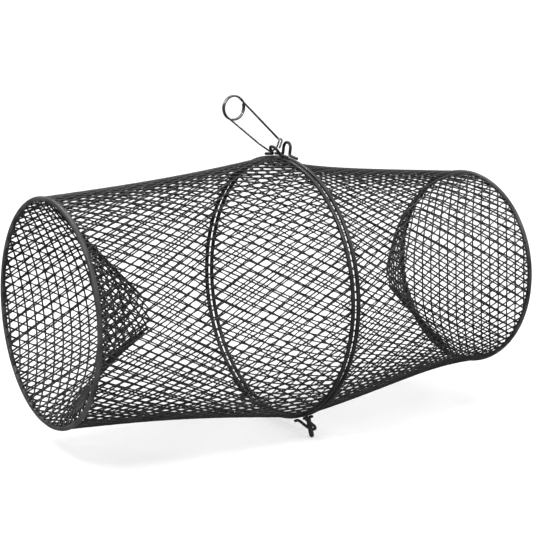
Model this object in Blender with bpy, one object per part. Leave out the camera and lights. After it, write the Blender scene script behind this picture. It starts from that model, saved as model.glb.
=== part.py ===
"""Two-piece torpedo crab trap: two mesh half-shells hinged at the bottom, clipped at the top.

Metres, +X along the trap's long axis, +Z up with the clip on top, the floor at z = 0.
The trap's long axis runs at z = AXIS_HEIGHT.
"""
import math

import bpy
from mathutils import Matrix, Vector

# ---------------------------------------------------------------- driving dimensions (metres)
LENGTH = 0.470            # over the two end rims
AXIS_HEIGHT = 0.13049     # long axis above the tips of the hinge tongues

HOOP_RADIUS = 0.1218      # mouth hoop, centre line
HOOP_WIRE = 0.0038        # coated wire thickness of the mouth hoops
HOOP_X = 0.0029           # mouth hoop centre line, either side of the parting plane
RIM_RADIUS = 0.0970       # end rim, centre line
RIM_WIRE = 0.0046
RIM_X = LENGTH / 2 - RIM_WIRE / 2

SHEET = 0.0013            # thickness of the mesh
GAP = 0.0003              # between pieces that touch in the real object

SHELL_MOUTH_RADIUS = 0.1214
SHELL_END_RADIUS = 0.0976
FUNNEL_DEPTH = 0.0890     # end plane to throat
FUNNEL_RIM_RADIUS = 0.0937
THROAT_RADIUS = 0.0180
THROAT_DROP = {"left": 0.0100, "right": 0.0010}   # hand-formed funnels sag below the long axis

FITTING_WIRE = 0.0028     # coated wire of the eyes and hinge loops
PAIR_ANGLE = 25.0         # hinge pairs sit this far either side of the bottom, degrees
HINGE_X = 0.0046          # hinge axis runs along Y through this x
HOOP_OUTER = HOOP_RADIUS + HOOP_WIRE / 2
LOOP_SLOPE = 44.0         # the left loops reach down and across at this angle, degrees
LOOP_HALF_WIDTH = 0.0054
LOOP_PAST_AXIS = 0.0056   # centre line of the loop's end beyond the hinge axis
TONGUE_HALF_WIDTH = 0.0016
TONGUE_DEPTH = 0.01995    # tip below the hoop's outer face
FOOT = 0.0065             # length of each wire foot along the hoop

EYE_LEFT = {"x": -0.0084, "y": (0.0096, -0.0020), "height": 0.0088}
EYE_RIGHT = {"x": 0.0042, "y": (0.0028, -0.0080), "height": 0.0130}
EYE_FOOT = 0.0130

CLIP_WIRE = 0.0017
COIL_RADIUS = 0.0106      # centre line of the spring coil
COIL_OFFSET = 0.0010      # half the pitch between the coil's two turns

SIDES = 8                 # flats round a wire
AROUND_HOOP = 72
AROUND_SHEET = 72
ARC_STEPS = 5             # segments in a bend


# ---------------------------------------------------------------- materials
def material(name, colour, roughness, metallic):
    mat = bpy.data.materials.new(name)
    mat.use_nodes = True
    shader = mat.node_tree.nodes["Principled BSDF"]
    shader.inputs["Base Color"].default_value = (*colour, 1.0)
    shader.inputs["Roughness"].default_value = roughness
    shader.inputs["Metallic"].default_value = metallic
    mat.diffuse_color = (*colour, 1.0)
    return mat


# ---------------------------------------------------------------- mesh helpers
def add_object(name, verts, faces, mat, origin):
    """One named object whose origin is at origin; verts are in the part's frame."""
    mesh = bpy.data.meshes.new(name)
    base = Vector(origin)
    mesh.from_pydata([Vector(v) - base for v in verts], [], faces)
    mesh.validate()
    mesh.materials.append(mat)
    obj = bpy.data.objects.new(name, mesh)
    obj.location = base
    bpy.context.scene.collection.objects.link(obj)
    return obj


def rounded(points, radii):
    """Polyline through points, with each inner corner i rounded to radii[i]."""
    path = [Vector(points[0])]
    for before, corner, after, radius in zip(points, points[1:], points[2:], radii):
        before, corner, after = Vector(before), Vector(corner), Vector(after)
        u = (before - corner).normalized()
        v = (after - corner).normalized()
        angle = u.angle(v)
        centre = corner + (u + v).normalized() * radius / math.sin(angle / 2)
        start = corner + u * radius / math.tan(angle / 2)
        end = corner + v * radius / math.tan(angle / 2)
        for step in range(ARC_STEPS + 1):
            arm = (start - centre).slerp(end - centre, step / ARC_STEPS).normalized()
            path.append(centre + arm * radius)
    path.append(Vector(points[-1]))
    return path


def ring_section(centre, tangent, normal, radius):
    side = tangent.cross(normal).normalized()
    section = []
    for k in range(SIDES):
        turn = 2 * math.pi * (k + 0.5) / SIDES
        section.append(centre + normal * radius * math.cos(turn) + side * radius * math.sin(turn))
    return section


def wire(name, path, thickness, mat, origin, closed=False):
    """Round wire along path; closed joins the last point to the first."""
    count = len(path)
    tangents = []
    for i in range(count):
        if closed:
            step = path[(i + 1) % count] - path[i - 1]
        else:
            step = path[min(i + 1, count - 1)] - path[max(i - 1, 0)]
        tangents.append(step.normalized())
    normal = tangents[0].orthogonal().normalized()
    if closed:
        normal = Vector((1.0, 0.0, 0.0))
    verts = []
    for i in range(count):
        normal = (normal - tangents[i] * normal.dot(tangents[i])).normalized()
        verts += ring_section(path[i], tangents[i], normal, thickness / 2)
    faces = []
    for i in range(count if closed else count - 1):
        low = i * SIDES
        high = ((i + 1) % count) * SIDES
        for k in range(SIDES):
            nxt = (k + 1) % SIDES
            faces.append((low + k, low + nxt, high + nxt, high + k))
    if not closed:
        faces.append(tuple(range(SIDES))[::-1])
        faces.append(tuple(range((count - 1) * SIDES, count * SIDES)))
    return add_object(name, verts, faces, mat, origin)


def circle_path(x, radius, count):
    path = []
    for k in range(count):
        turn = 2 * math.pi * k / count
        path.append(Vector((x, -radius * math.sin(turn), AXIS_HEIGHT + radius * math.cos(turn))))
    return path


def cone_sheet(name, start, end, mat, origin):
    """Open-ended conical sheet of even thickness between two circles.

    start and end are (x, radius, drop): drop lowers that circle below the long axis.
    """
    run = Vector((end[0] - start[0], end[1] - start[1]))
    across = Vector((-run.y, run.x)).normalized() * SHEET / 2
    profile = []
    for (x, radius, drop), side in ((start, 1), (end, 1), (end, -1), (start, -1)):
        profile.append((x + across.x * side, radius + across.y * side, drop))
    verts = []
    for k in range(AROUND_SHEET):
        turn = 2 * math.pi * k / AROUND_SHEET
        for x, radius, drop in profile:
            verts.append((x, -radius * math.sin(turn), AXIS_HEIGHT - drop + radius * math.cos(turn)))
    faces = []
    for k in range(AROUND_SHEET):
        low = 4 * k
        high = 4 * ((k + 1) % AROUND_SHEET)
        for j in range(4):
            nxt = (j + 1) % 4
            faces.append((low + j, high + j, high + nxt, low + nxt))
    return add_object(name, verts, faces, mat, origin)


# ---------------------------------------------------------------- wire fittings
def hinge_frame(angle):
    """Placing function for a hinge pair: (x, depth below the hoop's outer face, along the hoop)."""
    turn = math.radians(angle)
    outward = Vector((0.0, -math.sin(turn), -math.cos(turn)))
    along = Vector((0.0, math.cos(turn), -math.sin(turn)))
    axis = Vector((0.0, 0.0, AXIS_HEIGHT))

    def place(x, depth, s):
        return axis + Vector((x, 0.0, 0.0)) + outward * (HOOP_OUTER + depth) + along * s

    return place


LOOP_SIN = math.sin(math.radians(LOOP_SLOPE))
LOOP_COS = math.cos(math.radians(LOOP_SLOPE))
LOOP_START_X = -HOOP_X
LOOP_START_DEPTH = FITTING_WIRE / 2 + GAP
REACH = HOOP_WIRE / 2 + FITTING_WIRE / 2 + GAP
TONGUE_TOP = -HOOP_WIRE / 2 + math.sqrt(REACH ** 2 - (HINGE_X - HOOP_X) ** 2)
HINGE_DEPTH = LOOP_START_DEPTH + (HINGE_X - LOOP_START_X) * LOOP_SIN / LOOP_COS
HINGE_Z = AXIS_HEIGHT - (HOOP_OUTER + HINGE_DEPTH) * math.cos(math.radians(PAIR_ANGLE))
HINGE_ORIGIN = (HINGE_X, 0.0, HINGE_Z)


def hinge_loop(name, angle, mat):
    """U-shaped loop on the left hoop, reaching under both hoops round the right half's tongue."""
    place = hinge_frame(angle)
    length = (HINGE_X - LOOP_START_X) / LOOP_COS + LOOP_PAST_AXIS
    half = LOOP_HALF_WIDTH

    def point(u, s):
        return place(LOOP_START_X + LOOP_COS * u, LOOP_START_DEPTH + LOOP_SIN * u, s)

    corners = [point(0, -half - FOOT), point(0, -half), point(length, -half),
               point(length, half), point(0, half), point(0, half + FOOT)]
    bends = [0.0025, half - 0.0002, half - 0.0002, 0.0025]
    return wire(name, rounded(corners, bends), FITTING_WIRE, mat, (0, 0, 0))


def hinge_tongue(name, angle, mat):
    """Narrow hairpin on the right hoop that hangs down through the left half's loop."""
    place = hinge_frame(angle)
    half = TONGUE_HALF_WIDTH
    tip = TONGUE_DEPTH - FITTING_WIRE / 2
    top = TONGUE_TOP
    corners = [place(HINGE_X, top, -half - FOOT), place(HINGE_X, top, -half), place(HINGE_X, tip, -half),
               place(HINGE_X, tip, half), place(HINGE_X, top, half), place(HINGE_X, top, half + FOOT)]
    bends = [0.0020, half - 0.0001, half - 0.0001, 0.0020]
    return wire(name, rounded(corners, bends), FITTING_WIRE, mat, HINGE_ORIGIN)


def hoop_top(y, x, clearance):
    """Point above the hoop at y, clearance out from the hoop's outer face."""
    radius = HOOP_OUTER + clearance
    return Vector((x, y, AXIS_HEIGHT + math.sqrt(radius * radius - y * y)))


def clip_eye(name, eye, mat, origin):
    """Wire eye: a foot along the hoop, a tall narrow loop, a foot along the hoop."""
    x = eye["x"]
    far, near = eye["y"]
    lift = FITTING_WIRE / 2 + 0.0004
    top = AXIS_HEIGHT + HOOP_OUTER + eye["height"]
    half = (far - near) / 2
    foot_x = math.copysign(HOOP_X + 0.0003, x)
    corners = [hoop_top(far + EYE_FOOT, foot_x, lift), hoop_top(far, foot_x, lift),
               Vector((x, far, top)), Vector((x, near, top)),
               hoop_top(near, foot_x, lift), hoop_top(near - EYE_FOOT, foot_x, lift)]
    bends = [0.0016, half * 0.92, half * 0.92, 0.0016]
    return wire(name, rounded(corners, bends), FITTING_WIRE, mat, origin)


# ---------------------------------------------------------------- spring clip
EYE_PIVOT_X = EYE_LEFT["x"]
EYE_PIVOT_Z = AXIS_HEIGHT + HOOP_OUTER + EYE_LEFT["height"]
CLIP_POINT = Vector((-0.0026, 0.0024, AXIS_HEIGHT + HOOP_OUTER + 0.0054))
COIL_U = 0.0497
COIL_V = 0.0400


def clip_point(u, v, n=0.0):
    """Point of the clip's own plane, which stands along the trap: u towards the coil, v up."""
    return CLIP_POINT + Vector((-u, n, v))


def coil_arc(start, sweep, offset):
    """Points round the coil from start through sweep degrees, offset along Y."""
    steps = max(2, round(abs(sweep) / 15))
    points = []
    for k in range(steps + 1):
        turn = math.radians(start + sweep * k / steps)
        points.append(clip_point(COIL_U + COIL_RADIUS * math.cos(turn),
                                 COIL_V + COIL_RADIUS * math.sin(turn), offset))
    return points


def tangent_angle(u, v, side):
    """Angle on the coil where a straight arm from (u, v) touches it."""
    du = u - COIL_U
    dv = v - COIL_V
    distance = math.hypot(du, dv)
    return math.degrees(math.atan2(dv, du) + side * math.acos(COIL_RADIUS / distance))


def clip_body(name, mat, origin):
    """One turn of the coil, the lower arm, the bend through the left eye and the hairpin catch."""
    end = (0.0110, 0.0003)
    touch = tangent_angle(*end, 1)
    path = coil_arc(touch + 345, -345, -COIL_OFFSET)
    corners = [path[-1], clip_point(0.0218, 0.0070, -COIL_OFFSET * 0.4), clip_point(0.0078, -0.0014),
               clip_point(0.0016, 0.0026), clip_point(-0.0004, 0.0088, -0.0004),
               clip_point(-0.0030, 0.0130, 0.0016), clip_point(-0.0042, 0.0085, 0.0004),
               clip_point(-0.0012, 0.0016)]
    bends = [0.02, 0.0035, 0.0030, 0.0022, 0.0016, 0.0020]
    path = path[:-1] + rounded(corners, bends)
    return wire(name, path, CLIP_WIRE, mat, origin)


def clip_pin(name, mat, origin):
    """The other turn of the coil and the straight sprung arm whose tip lies under the catch."""
    tip = (-0.0024, 0.0096)
    touch = tangent_angle(*tip, -1)
    path = coil_arc(touch - 330, 330, COIL_OFFSET)
    path.append(clip_point(*tip, 0.0027))
    return wire(name, path, CLIP_WIRE, mat, origin)


# ---------------------------------------------------------------- assembly
def build_half(side, vinyl, origin):
    sign = -1 if side == "left" else 1
    hoop_x = sign * HOOP_X
    wire("mouth_hoop_" + side, circle_path(hoop_x, HOOP_RADIUS, AROUND_HOOP), HOOP_WIRE, vinyl["wire"],
         origin, closed=True)
    wire("end_rim_" + side, circle_path(sign * RIM_X, RIM_RADIUS, AROUND_HOOP), RIM_WIRE, vinyl["wire"],
         origin, closed=True)
    shell_start = (sign * (HOOP_X + HOOP_WIRE / 2 + GAP), SHELL_MOUTH_RADIUS, 0.0)
    shell_end = (sign * (RIM_X - RIM_WIRE / 2 - GAP), SHELL_END_RADIUS, 0.0)
    cone_sheet("mesh_shell_" + side, shell_start, shell_end, vinyl["mesh"], origin)
    funnel_start = (sign * (LENGTH / 2 - 0.0015), FUNNEL_RIM_RADIUS, 0.0)
    funnel_end = (sign * (LENGTH / 2 - FUNNEL_DEPTH), THROAT_RADIUS, THROAT_DROP[side])
    cone_sheet("entry_funnel_" + side, funnel_start, funnel_end, vinyl["mesh"], origin)


def build():
    for obj in list(bpy.data.objects):
        bpy.data.objects.remove(obj, do_unlink=True)
    vinyl = {"wire": material("vinyl_wire", (0.022, 0.022, 0.024), 0.38, 0.0),
             "mesh": material("vinyl_mesh", (0.020, 0.020, 0.022), 0.45, 0.0)}
    zinc = material("zinc_wire", (0.62, 0.63, 0.64), 0.28, 1.0)

    build_half("left", vinyl, (0, 0, 0))
    build_half("right", vinyl, HINGE_ORIGIN)
    for place, angle in (("near", PAIR_ANGLE), ("far", -PAIR_ANGLE)):
        hinge_loop("hinge_loop_" + place, angle, vinyl["wire"])
        hinge_tongue("hinge_tongue_" + place, angle, vinyl["wire"])
    clip_eye("clip_eye_left", EYE_LEFT, vinyl["wire"], (0, 0, 0))
    clip_eye("clip_eye_right", EYE_RIGHT, vinyl["wire"], HINGE_ORIGIN)
    clip_body("clip_body", zinc, (EYE_PIVOT_X, 0.0030, EYE_PIVOT_Z))
    clip_pin("clip_pin", zinc, clip_point(COIL_U, COIL_V))


build()
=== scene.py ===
import math

import bpy
from mathutils import Matrix, Vector


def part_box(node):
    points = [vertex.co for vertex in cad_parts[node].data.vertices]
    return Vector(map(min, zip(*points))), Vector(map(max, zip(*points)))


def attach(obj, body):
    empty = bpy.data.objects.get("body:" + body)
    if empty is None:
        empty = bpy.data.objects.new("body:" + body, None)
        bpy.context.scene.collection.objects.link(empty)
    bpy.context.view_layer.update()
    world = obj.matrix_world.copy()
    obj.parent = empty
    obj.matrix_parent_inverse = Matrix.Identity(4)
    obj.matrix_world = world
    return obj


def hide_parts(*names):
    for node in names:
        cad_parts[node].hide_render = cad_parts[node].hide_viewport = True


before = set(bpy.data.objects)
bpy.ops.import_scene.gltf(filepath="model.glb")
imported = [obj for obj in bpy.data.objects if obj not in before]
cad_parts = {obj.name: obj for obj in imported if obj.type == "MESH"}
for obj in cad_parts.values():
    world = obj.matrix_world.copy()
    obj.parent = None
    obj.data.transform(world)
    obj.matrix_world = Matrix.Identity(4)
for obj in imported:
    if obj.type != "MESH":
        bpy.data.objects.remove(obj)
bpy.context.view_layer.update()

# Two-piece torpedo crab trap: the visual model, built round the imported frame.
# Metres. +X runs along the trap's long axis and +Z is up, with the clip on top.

# ---------------------------------------------------------------- hoops and end rims
HOOP_LOW, HOOP_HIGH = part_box("mouth_hoop_left")
RIM_LOW, RIM_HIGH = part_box("end_rim_left")
AXIS_Z = (HOOP_LOW[2] + HOOP_HIGH[2]) / 2
HOOP_WIRE = 0.0038
HOOP_OUTER = 0.1237
HOOP_RADIUS = HOOP_OUTER - HOOP_WIRE / 2
HOOP_X = abs(HOOP_LOW[0] + HOOP_HIGH[0]) / 2
RIM_WIRE = 0.0046
RIM_RADIUS = 0.0970
RIM_X = abs(RIM_LOW[0] + RIM_HIGH[0]) / 2

# ---------------------------------------------------------------- mesh of the trap
SHELL_STRAND = 0.00126     # width of one coated strand of the shells
FUNNEL_STRAND = 0.00150    # and of the funnels
STRAND_DEPTH = 0.00150     # thickness of a strand through the sheet
STRAND_SIDES = 6
BARE = 0.92                # width of a strand between crossings, against the figures above
KNOT_DEPTH = 1.12          # the coat is thicker at the crossings
SHELL_KNOT = 1.30          # and the strands are wider there
FUNNEL_KNOT = 1.25
SHELL_EDGE = 1.55          # the shell's first and last strands, where it is held in its rings
CELLS_ROUND = 74           # diamonds round the shell
CELLS_LONG = 13.5          # diamonds along the shell
SHELL_END_RADIUS = 0.0976
# the stretched mesh is drawn in between hoop and rim: (depth, power) at the top and at the bottom,
# where a power below 1 puts the narrowest place nearer the hoop
WAIST = {"left": ((0.0028, 0.90), (0.0036, 1.00)), "right": ((0.0060, 0.50), (0.0050, 1.90))}

FUNNEL_FACE_X = 0.2335
FUNNEL_FACE_RADIUS = 0.0937
FUNNEL_LIP_RADIUS = 0.0960     # the strands' ends, held in the end rim
THROAT_X = 0.1460
THROAT_RADIUS = 0.0180
THROAT_DROP = {"left": 0.0100, "right": 0.0010}
FUNNEL_GRAIN = {"left": 298.0, "right": 41.0}   # where the sheet's grain points up the cone, degrees
STRAND_PITCH = 0.0082      # between neighbouring parallel strands of a flat sheet
GRAIN_HALF_ANGLE = 28.0    # the two families of strands lie this far either side of the grain
LAP = 0.0007               # the sheet's edges pass each other at the seam
# each hand-formed cone is out of true on one side: (angle from the top, half width, how far out)
DENT = {"left": (133.0, 60.0, -0.0085), "right": (311.0, 85.0, 0.0115)}

# ---------------------------------------------------------------- wire fittings, as in the CAD part
FITTING_WIRE = 0.0028
PAIR_ANGLE = 25.0
HINGE_X = 0.0046
LOOP_SLOPE = math.radians(44.0)
LOOP_HALF_WIDTH = 0.0054
LOOP_PAST_AXIS = 0.0056
TONGUE_HALF_WIDTH = 0.0016
TONGUE_DEPTH = 0.01995
FOOT = 0.0065              # length of each welded foot
AIR = 0.0003               # between a foot and the hoop it is welded to
EYE_LEFT = {"x": -0.0084, "y": (0.0096, -0.0020), "height": 0.0088}
EYE_RIGHT = {"x": 0.0042, "y": (0.0028, -0.0080), "height": 0.0130}
EYE_FOOT = 0.0130

CLIP_WIRE = 0.0017
COIL_RADIUS = 0.0106
COIL_OFFSET = 0.0010
COIL_U = 0.0497
COIL_V = 0.0400
CLIP_POINT = Vector((-0.0026, 0.0024, AXIS_Z + HOOP_OUTER + 0.0054))

# ---------------------------------------------------------------- camera
CAMERA_BEARING = math.radians(-34.14)
CAMERA_HEIGHT = math.radians(12.16)
CAMERA_ROLL = math.radians(2.12)
CAMERA_DISTANCE = 1.1954
CAMERA_TARGET = Vector((-0.0258, -0.0199, AXIS_Z + 0.0262))
CAMERA_LENS = 88.48


# ---------------------------------------------------------------- materials
def nodes_of(name):
    mat = bpy.data.materials.new(name)
    mat.use_nodes = True
    tree = mat.node_tree
    shader = tree.nodes["Principled BSDF"]
    return mat, tree, shader


def noise(tree, scale, detail):
    coords = tree.nodes.new("ShaderNodeTexCoord")
    texture = tree.nodes.new("ShaderNodeTexNoise")
    texture.inputs["Scale"].default_value = scale
    texture.inputs["Detail"].default_value = detail
    tree.links.new(coords.outputs["Object"], texture.inputs["Vector"])
    return texture


def ramp(tree, source, low, high):
    """Colour from low to high over the middle of a noise's range."""
    node = tree.nodes.new("ShaderNodeValToRGB")
    first, last = node.color_ramp.elements
    first.position, first.color = 0.35, (*low, 1.0)
    last.position, last.color = 0.65, (*high, 1.0)
    tree.links.new(source, node.inputs["Fac"])
    return node


def map_range(tree, source, from_low, from_high, low, high):
    node = tree.nodes.new("ShaderNodeMapRange")
    node.inputs["From Min"].default_value = from_low
    node.inputs["From Max"].default_value = from_high
    node.inputs["To Min"].default_value = low
    node.inputs["To Max"].default_value = high
    tree.links.new(source, node.inputs["Value"])
    return node.outputs["Result"]


def bump(tree, shader, source, strength, distance):
    node = tree.nodes.new("ShaderNodeBump")
    node.inputs["Strength"].default_value = strength
    node.inputs["Distance"].default_value = distance
    tree.links.new(source, node.inputs["Height"])
    tree.links.new(node.outputs["Normal"], shader.inputs["Normal"])


def vinyl(name, dark, light, rough_low, rough_high, grain):
    """Dipped black vinyl with uneven tone, uneven gloss and a slightly lumpy skin."""
    mat, tree, shader = nodes_of(name)
    cloud = noise(tree, 55.0, 4.0)
    tone = ramp(tree, cloud.outputs["Fac"], dark, light)
    tree.links.new(tone.outputs["Color"], shader.inputs["Base Color"])
    patches = noise(tree, 240.0, 3.0)
    rough = map_range(tree, patches.outputs["Fac"], 0.3, 0.7, rough_low, rough_high)
    tree.links.new(rough, shader.inputs["Roughness"])
    skin = noise(tree, grain, 2.0)
    bump(tree, shader, skin.outputs["Fac"], 0.40, 0.0004)
    shader.inputs["Specular IOR Level"].default_value = 0.38
    return mat


def plated_wire(name):
    """Grey plated spring wire, with fine drawing lines and a few dull patches."""
    mat, tree, shader = nodes_of(name)
    patches = noise(tree, 130.0, 4.0)
    tone = ramp(tree, patches.outputs["Fac"], (0.11, 0.11, 0.115), (0.26, 0.26, 0.26))
    tree.links.new(tone.outputs["Color"], shader.inputs["Base Color"])
    rough = map_range(tree, patches.outputs["Fac"], 0.3, 0.7, 0.36, 0.22)
    tree.links.new(rough, shader.inputs["Roughness"])
    shader.inputs["Metallic"].default_value = 1.0
    lines = noise(tree, 2600.0, 2.0)
    bump(tree, shader, lines.outputs["Fac"], 0.15, 0.0001)
    return mat


MESH_MAT = vinyl("mesh_vinyl", (0.006, 0.006, 0.0066), (0.020, 0.020, 0.022), 0.28, 0.48, 900.0)
WIRE_MAT = vinyl("wire_vinyl", (0.006, 0.006, 0.0066), (0.018, 0.018, 0.020), 0.26, 0.44, 520.0)
# the end rims are the same black vinyl as the hoops, given a lighter base colour all round: painted
# highlight, standing in for the light the rims catch from above
RIM_PAINTED_HIGHLIGHT_MAT = vinyl("rim_vinyl_painted_highlight", (0.016, 0.016, 0.017), (0.050, 0.050, 0.053), 0.34, 0.52, 520.0)
ZINC_MAT = plated_wire("zinc_wire_finish")


# ---------------------------------------------------------------- mesh building
class Build:
    """Gathers verts and faces of one piece."""

    def __init__(self):
        self.verts = []
        self.faces = []

    def tube(self, points, normals, widths, depths, sides, closed=False):
        """Tube of elliptical section along points: width lies in the surface, depth along normals."""
        base = len(self.verts)
        count = len(points)
        for i, (point, normal) in enumerate(zip(points, normals)):
            if closed:
                tangent = points[(i + 1) % count] - points[i - 1]
            else:
                tangent = points[min(i + 1, count - 1)] - points[max(i - 1, 0)]
            tangent.normalize()
            across = tangent.cross(normal).normalized()
            up = across.cross(tangent)
            for k in range(sides):
                turn = 2 * math.pi * (k + 0.5) / sides
                self.verts.append(point + across * (widths[i] / 2 * math.cos(turn))
                                  + up * (depths[i] / 2 * math.sin(turn)))
        for i in range(count if closed else count - 1):
            low = base + i * sides
            high = base + ((i + 1) % count) * sides
            for k in range(sides):
                nxt = (k + 1) % sides
                self.faces.append((low + k, low + nxt, high + nxt, high + k))
        if not closed:
            self.faces.append(tuple(range(base + sides - 1, base - 1, -1)))
            self.faces.append(tuple(range(base + (count - 1) * sides, base + count * sides)))

    def object(self, name, mat, body, slot, *nodes):
        mesh = bpy.data.meshes.new(name)
        mesh.from_pydata(self.verts, [], self.faces)
        mesh.materials.append(mat)
        for poly in mesh.polygons:
            poly.use_smooth = len(poly.vertices) == 4
        obj = bpy.data.objects.new(name, mesh)
        bpy.context.scene.collection.objects.link(obj)
        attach(obj, body)
        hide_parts(*nodes)
        return obj


def on_axis(x, radius, angle, drop=0.0):
    """Point at angle degrees from the top, turning towards the near side."""
    turn = math.radians(angle)
    return Vector((x, -radius * math.sin(turn), AXIS_Z - drop + radius * math.cos(turn)))


def outward(angle):
    turn = math.radians(angle)
    return Vector((0.0, -math.sin(turn), math.cos(turn))).normalized()


# ---------------------------------------------------------------- mesh shells
def drawn_in(side, angle, t):
    """How far the shell lies inside a straight cone, t of the way from hoop to rim."""
    top, bottom = WAIST[side]
    share = 0.5 + 0.5 * math.cos(math.radians(angle))
    depth = bottom[0] + (top[0] - bottom[0]) * share
    power = bottom[1] + (top[1] - bottom[1]) * share
    return depth * math.sin(math.pi * t ** power)


def shell(side):
    """Two families of strands that wind opposite ways from the mouth hoop to the end rim."""
    sign = -1 if side == "left" else 1
    piece = Build()
    steps = round(CELLS_LONG * 4)      # two from each crossing to the next
    twist = CELLS_LONG * 360.0 / CELLS_ROUND
    start_x = HOOP_X + 0.0004
    end_x = RIM_X
    for family in (1, -1):
        for strand in range(CELLS_ROUND):
            first = 360.0 * strand / CELLS_ROUND
            points, normals, widths, depths = [], [], [], []
            for i in range(steps + 1):
                t = i / steps
                angle = first + family * twist * t
                radius = HOOP_RADIUS + (SHELL_END_RADIUS - HOOP_RADIUS) * t
                radius -= drawn_in(side, angle, t)
                points.append(on_axis(sign * (start_x + (end_x - start_x) * t), radius, angle))
                normals.append(outward(angle))
                at_edge = i < 2 or i > steps - 2
                at_crossing = i % 2 == 0
                knot = SHELL_EDGE if at_edge else SHELL_KNOT if at_crossing else BARE
                widths.append(SHELL_STRAND * knot)
                depths.append(STRAND_DEPTH * (KNOT_DEPTH if at_crossing else 1.0))
            piece.tube(points, normals, widths, depths, STRAND_SIDES)
    return piece.object("shell_mesh_" + side, MESH_MAT, side + "_half", "vinyl_mesh",
                        "mesh_shell_" + side)


# ---------------------------------------------------------------- entry funnels
CONE_SINE = (FUNNEL_FACE_RADIUS - THROAT_RADIUS) / math.hypot(
    FUNNEL_FACE_RADIUS - THROAT_RADIUS, FUNNEL_FACE_X - THROAT_X)
FLAT_INNER = THROAT_RADIUS / CONE_SINE
FLAT_OUTER = FUNNEL_LIP_RADIUS / CONE_SINE
FLAT_HALF = math.pi * CONE_SINE * 1.02     # half the fan's angle, with the lap
OFF_THE_SHEET = Vector((9.0, 9.0))
SHORTEST_STRAND = 0.003
SHORTEST_STEP = 0.0003


def inside_flat(point):
    """True on the flat sheet the funnel is rolled from: a fan between two arcs."""
    reach = point.length
    if not FLAT_INNER <= reach <= FLAT_OUTER:
        return False
    return abs(math.atan2(point.y, point.x)) <= FLAT_HALF


def edge_between(inner, outer):
    """Point where the way from inner to outer leaves the flat sheet."""
    for _ in range(12):
        middle = (inner + outer) / 2
        if inside_flat(middle):
            inner = middle
        else:
            outer = middle
    return inner


def roll_up(side, point):
    """(place, normal) on the funnel of a point of the flat sheet."""
    sign = -1 if side == "left" else 1
    radius = point.length * CONE_SINE
    turn = math.atan2(point.y, point.x)
    angle = FUNNEL_GRAIN[side] + math.degrees(turn) / CONE_SINE
    down = max(0.0, (FUNNEL_FACE_RADIUS - radius) / (FUNNEL_FACE_RADIUS - THROAT_RADIUS))
    x = FUNNEL_FACE_X - (FUNNEL_FACE_X - THROAT_X) * down
    slope = math.sqrt(1 - CONE_SINE * CONE_SINE)
    middle, width, push = DENT[side]
    off = abs((angle - middle + 180.0) % 360.0 - 180.0) / width
    if off < 1.0:
        deep = math.sin(math.pi * min(down, 1.0) ** 0.7)
        radius += push * deep * (0.5 + 0.5 * math.cos(math.pi * off))
    place = on_axis(sign * x, radius, angle, THROAT_DROP[side] * down)
    facing = outward(angle) * slope + Vector((-sign * CONE_SINE, 0.0, 0.0))
    return place + facing * (LAP * turn / FLAT_HALF), facing


def funnel(side):
    """Crossing strands laid out on the flat sheet, cut to its outline and rolled up."""
    piece = Build()
    half = math.radians(GRAIN_HALF_ANGLE)
    crossing = STRAND_PITCH / math.sin(2 * half)
    lines = int(FLAT_OUTER / STRAND_PITCH) + 1
    reach = int(2 * FLAT_OUTER / crossing) * 2
    for family in (1, -1):
        step = Vector((math.cos(family * half), math.sin(family * half)))
        run = Vector((-step.y, step.x))
        for line in range(-lines, lines + 1):
            offset = family * line * math.cos(2 * half) % 1.0
            samples = []
            for j in range(-reach, reach + 1):
                s = (j / 2 + offset) * crossing
                samples.append((step * (line * STRAND_PITCH) + run * s, j % 2 == 0))
            chain = []
            before = None
            for point, knot in samples + [(OFF_THE_SHEET, False)]:
                here = inside_flat(point)
                if here and not chain and before is not None:
                    chain.append((edge_between(point, before), False))
                if here:
                    chain.append((point, knot))
                elif chain:
                    chain.append((edge_between(chain[-1][0], point), False))
                    if (chain[0][0] - chain[-1][0]).length > SHORTEST_STRAND:
                        add_strand(piece, side, chain)
                    chain = []
                before = point
    return piece.object("funnel_mesh_" + side, MESH_MAT, side + "_half", "vinyl_mesh",
                        "entry_funnel_" + side)


def add_strand(piece, side, chain):
    """One strand of a funnel, from its points on the flat sheet."""
    points, normals, widths, depths = [], [], [], []
    for point, knot in chain:
        place, facing = roll_up(side, point)
        if points and (place - points[-1]).length < SHORTEST_STEP:
            continue
        points.append(place)
        normals.append(facing)
        widths.append(FUNNEL_STRAND * (FUNNEL_KNOT if knot else BARE))
        depths.append(STRAND_DEPTH * (KNOT_DEPTH if knot else 1.0))
    if len(points) > 1:
        piece.tube(points, normals, widths, depths, STRAND_SIDES)


# ---------------------------------------------------------------- hoops and rims
def hoop(name, x, radius, thickness, side, node, finish):
    """Coated wire ring, with the coat's slow thick-and-thin waves."""
    piece = Build()
    count = 288
    points, normals, widths = [], [], []
    for k in range(count):
        angle = 360.0 * k / count
        wave = math.sin(math.radians(angle * 7 + 40)) + 0.6 * math.sin(math.radians(angle * 19))
        points.append(on_axis(x, radius, angle))
        normals.append(outward(angle))
        widths.append(thickness * (0.980 + 0.009 * wave))
    piece.tube(points, normals, widths, widths, 16, closed=True)
    return piece.object(name, finish, side + "_half", "vinyl_wire", node)


# ---------------------------------------------------------------- bent wire
def rounded(points, radii):
    """Polyline through points, with each inner corner rounded to its radius."""
    path = [Vector(points[0])]
    for before, corner, after, radius in zip(points, points[1:], points[2:], radii):
        u = (before - corner).normalized()
        v = (after - corner).normalized()
        angle = u.angle(v)
        centre = corner + (u + v).normalized() * radius / math.sin(angle / 2)
        start = corner + u * radius / math.tan(angle / 2)
        end = corner + v * radius / math.tan(angle / 2)
        for step in range(11):
            arm = (start - centre).slerp(end - centre, step / 10).normalized()
            path.append(centre + arm * radius)
    path.append(Vector(points[-1]))
    return path


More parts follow.
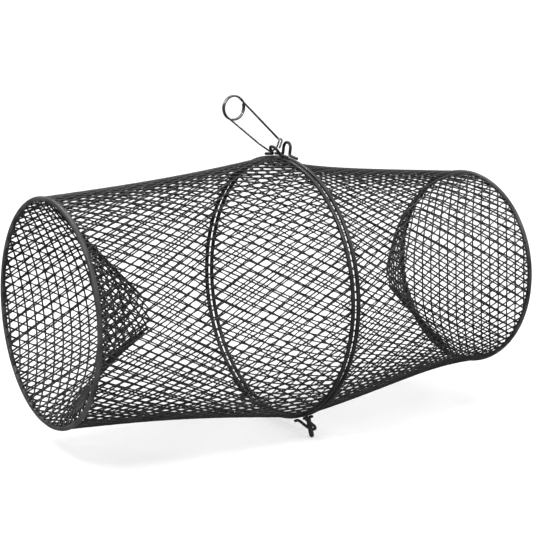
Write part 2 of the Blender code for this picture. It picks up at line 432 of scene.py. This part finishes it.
def bent_wire(name, path, thickness, mat, body, slot, node, swell=0.0):
    """Round wire along path with domed ends; swell fattens the last few millimetres."""
    clean = [path[0]]
    for point in path[1:]:
        if (point - clean[-1]).length > thickness * 0.04:
            clean.append(point)
    for at_start in (True, False):
        tip = clean[0] if at_start else clean[-1]
        inner = clean[1] if at_start else clean[-2]
        back = (inner - tip).normalized() * thickness / 2
        dome = [tip + back * share for share in (0.0, 0.15, 0.5, 1.0)]
        dome = [p for p in dome if (p - tip).length < (inner - tip).length * 0.9]
        clean = dome + clean[1:] if at_start else clean[:-1] + dome[::-1]
    count = len(clean)
    normal = (clean[1] - clean[0]).normalized().orthogonal()
    normals, widths = [], []
    ends = (0.30, 0.66, 0.92, 1.0)      # thickness of the dome's rings
    for i in range(count):
        tangent = (clean[min(i + 1, count - 1)] - clean[max(i - 1, 0)]).normalized()
        normal = (normal - tangent * normal.dot(tangent)).normalized()
        normals.append(normal.copy())
        dome = min(ends[min(i, 3)], ends[min(count - 1 - i, 3)])
        fat = 1.0 + swell * max(0.0, 1.0 - (clean[-1] - clean[i]).length / 0.0032)
        widths.append(thickness * dome * fat)
    piece = Build()
    piece.tube(clean, normals, widths, widths, 14)
    return piece.object(name, mat, body, slot, node)


def hinge_frame(angle):
    """Place of (x, depth below the hoop, s round the hoop) at angle degrees from the bottom."""
    turn = math.radians(angle)
    down = Vector((0.0, -math.sin(turn), -math.cos(turn)))
    along = Vector((0.0, math.cos(turn), -math.sin(turn)))
    axis = Vector((0.0, 0.0, AXIS_Z))

    def place(x, depth, s):
        return axis + Vector((x, 0.0, 0.0)) + down * (HOOP_OUTER + depth) + along * s

    return place


def hinge_loop(place_name, angle):
    """Long U that slopes down past the tongue."""
    place = hinge_frame(angle)
    start_x = -HOOP_X
    start_depth = FITTING_WIRE / 2 + AIR
    length = (HINGE_X - start_x) / math.cos(LOOP_SLOPE) + LOOP_PAST_AXIS
    half = LOOP_HALF_WIDTH

    def point(u, s):
        return place(start_x + math.cos(LOOP_SLOPE) * u, start_depth + math.sin(LOOP_SLOPE) * u, s)

    corners = [point(0, -half - FOOT), point(0, -half), point(length, -half),
               point(length, half), point(0, half), point(0, half + FOOT)]
    path = rounded(corners, [0.0025, half - 0.0002, half - 0.0002, 0.0025])
    return bent_wire("loop_wire_" + place_name, path, FITTING_WIRE, WIRE_MAT, "left_half",
                     "vinyl_wire", "hinge_loop_" + place_name)


def hinge_tongue(place_name, angle):
    """Narrow U that hangs straight down through the loop."""
    place = hinge_frame(angle)
    half = TONGUE_HALF_WIDTH
    tip = TONGUE_DEPTH - FITTING_WIRE / 2
    reach = HOOP_WIRE / 2 + FITTING_WIRE / 2 + AIR
    top = -HOOP_WIRE / 2 + math.sqrt(reach ** 2 - (HINGE_X - HOOP_X) ** 2)
    corners = [place(HINGE_X, top, -half - FOOT), place(HINGE_X, top, -half),
               place(HINGE_X, tip, -half), place(HINGE_X, tip, half),
               place(HINGE_X, top, half), place(HINGE_X, top, half + FOOT)]
    path = rounded(corners, [0.0020, half - 0.0001, half - 0.0001, 0.0020])
    return bent_wire("tongue_wire_" + place_name, path, FITTING_WIRE, WIRE_MAT, "right_half",
                     "vinyl_wire", "hinge_tongue_" + place_name)


def hoop_top(y, x, clearance):
    """Point over the top of a mouth hoop."""
    radius = HOOP_OUTER + clearance
    return Vector((x, y, AXIS_Z + math.sqrt(radius * radius - y * y)))


def clip_eye(side, eye):
    """Upright loop of wire on the top of a mouth hoop."""
    far, near = eye["y"]
    lift = FITTING_WIRE / 2 + 0.0004
    top = AXIS_Z + HOOP_OUTER + eye["height"]
    half = (far - near) / 2
    foot_x = math.copysign(HOOP_X + AIR, eye["x"])
    corners = [hoop_top(far + EYE_FOOT, foot_x, lift), hoop_top(far, foot_x, lift),
               Vector((eye["x"], far, top)), Vector((eye["x"], near, top)),
               hoop_top(near, foot_x, lift), hoop_top(near - EYE_FOOT, foot_x, lift)]
    path = rounded(corners, [0.0016, half * 0.92, half * 0.92, 0.0016])
    return bent_wire("eye_wire_" + side, path, FITTING_WIRE, WIRE_MAT, side + "_half",
                     "vinyl_wire", "clip_eye_" + side)


# ---------------------------------------------------------------- spring clip
def clip_point(u, v, n=0.0):
    """Point of the clip's own plane, which stands along the trap: u towards the coil, v up."""
    return CLIP_POINT + Vector((-u, n, v))


def coil_arc(start, sweep, offset):
    """Part of the clip's coil, from start degrees through sweep degrees."""
    steps = max(2, round(abs(sweep) / 5))
    points = []
    for k in range(steps + 1):
        turn = math.radians(start + sweep * k / steps)
        points.append(clip_point(COIL_U + COIL_RADIUS * math.cos(turn),
                                 COIL_V + COIL_RADIUS * math.sin(turn), offset))
    return points


def tangent_angle(u, v, side):
    """Where on the coil a straight arm to (u, v) leaves it."""
    du = u - COIL_U
    dv = v - COIL_V
    distance = math.hypot(du, dv)
    return math.degrees(math.atan2(dv, du) + side * math.acos(COIL_RADIUS / distance))


def clip():
    """Body: a turn of the coil, lower arm, catch. Pin: the other turn and the upper arm."""
    touch = tangent_angle(0.0110, 0.0003, 1)
    coil = coil_arc(touch + 345, -345, -COIL_OFFSET)
    corners = [coil[-1], clip_point(0.0218, 0.0070, -COIL_OFFSET * 0.4), clip_point(0.0078, -0.0014),
               clip_point(0.0016, 0.0026), clip_point(-0.0004, 0.0088, -0.0004),
               clip_point(-0.0030, 0.0130, 0.0016), clip_point(-0.0042, 0.0085, 0.0004),
               clip_point(-0.0012, 0.0016)]
    path = coil[:-1] + rounded(corners, [0.02, 0.0035, 0.0030, 0.0022, 0.0016, 0.0020])
    bent_wire("clip_wire_body", path, CLIP_WIRE, ZINC_MAT, "clip_body", "zinc_wire", "clip_body")
    tip = (-0.0024, 0.0096)
    touch = tangent_angle(*tip, -1)
    path = coil_arc(touch - 330, 330, COIL_OFFSET) + [clip_point(*tip, 0.0027)]
    bent_wire("clip_wire_pin", path, CLIP_WIRE, ZINC_MAT, "clip_pin", "zinc_wire", "clip_pin",
              swell=0.25)


# ---------------------------------------------------------------- studio
def studio():
    """White lit table, even sky that is dimmer in reflections, and three soft lamps."""
    floor_mesh = bpy.data.meshes.new("floor")
    size = 120.0
    corners = [(-size, -size, 0), (size, -size, 0), (size, size, 0), (-size, size, 0)]
    floor_mesh.from_pydata(corners, [], [(0, 1, 2, 3)])
    floor = bpy.data.objects.new("floor", floor_mesh)
    bpy.context.scene.collection.objects.link(floor)
    mat, _, shader = nodes_of("floor_paper")
    shader.inputs["Base Color"].default_value = (0.50, 0.50, 0.50, 1.0)
    shader.inputs["Roughness"].default_value = 0.9
    shader.inputs["Emission Color"].default_value = (1.0, 1.0, 1.0, 1.0)
    shader.inputs["Emission Strength"].default_value = 0.54
    floor_mesh.materials.append(mat)
    floor.visible_glossy = False

    world = bpy.data.worlds.new("studio_world")
    world.use_nodes = True
    tree = world.node_tree
    backdrop = tree.nodes["Background"]
    backdrop.inputs["Color"].default_value = (1.0, 1.0, 1.0, 1.0)
    place = tree.nodes.new("ShaderNodeTexCoord")
    split = tree.nodes.new("ShaderNodeSeparateXYZ")
    tree.links.new(place.outputs["Generated"], split.inputs["Vector"])
    mirrored = map_range(tree, split.outputs["Z"], 0.10, 0.85, 0.16, 1.60)
    rays = tree.nodes.new("ShaderNodeLightPath")
    level = map_range(tree, rays.outputs["Is Glossy Ray"], 0.0, 1.0, 1.03, 1.03)
    tree.links.new(mirrored, level.node.inputs["To Max"])
    tree.links.new(level, backdrop.inputs["Strength"])
    bpy.context.scene.world = world
    bpy.context.scene.view_settings.view_transform = "Standard"

    for name, place, power in (("key", (-1.3, -0.7, 1.5), 18.0),
                               ("top", (-0.5, 0.9, 1.7), 12.0),
                               ("side", (1.6, -0.6, 1.1), 7.0)):
        lamp = bpy.data.lights.new(name, "AREA")
        lamp.energy = power
        lamp.size = 0.34
        obj = bpy.data.objects.new(name, lamp)
        obj.location = place
        aim = Vector((0.0, 0.0, AXIS_Z)) - Vector(place)
        obj.rotation_euler = aim.to_track_quat("-Z", "Y").to_euler()
        bpy.context.scene.collection.objects.link(obj)


def camera():
    """Camera that looks at the trap from its near left, slightly above and slightly rolled."""
    back = Vector((math.sin(CAMERA_BEARING) * math.cos(CAMERA_HEIGHT),
                   -math.cos(CAMERA_BEARING) * math.cos(CAMERA_HEIGHT), math.sin(CAMERA_HEIGHT)))
    right = Vector((math.cos(CAMERA_BEARING), math.sin(CAMERA_BEARING), 0.0))
    up = back.cross(right)
    turned_right = right * math.cos(CAMERA_ROLL) + up * math.sin(CAMERA_ROLL)
    turned_up = up * math.cos(CAMERA_ROLL) - right * math.sin(CAMERA_ROLL)
    data = bpy.data.cameras.new("camera")
    data.lens = CAMERA_LENS
    data.sensor_width = 36.0
    obj = bpy.data.objects.new("camera", data)
    turn = Matrix((turned_right, turned_up, back)).transposed().to_4x4()
    obj.matrix_world = Matrix.Translation(CAMERA_TARGET + back * CAMERA_DISTANCE) @ turn
    bpy.context.scene.collection.objects.link(obj)
    bpy.context.scene.camera = obj


camera()
studio()
for half_side, half_sign in (("left", -1), ("right", 1)):
    shell(half_side)
    funnel(half_side)
    hoop("hoop_wire_" + half_side, half_sign * HOOP_X, HOOP_RADIUS, HOOP_WIRE, half_side,
         "mouth_hoop_" + half_side, WIRE_MAT)
    hoop("rim_wire_" + half_side, half_sign * RIM_X, RIM_RADIUS, RIM_WIRE, half_side,
         "end_rim_" + half_side, RIM_PAINTED_HIGHLIGHT_MAT)
for pair_name, pair_angle in (("near", PAIR_ANGLE), ("far", -PAIR_ANGLE)):
    hinge_loop(pair_name, pair_angle)
    hinge_tongue(pair_name, pair_angle)
clip_eye("left", EYE_LEFT)
clip_eye("right", EYE_RIGHT)
clip()
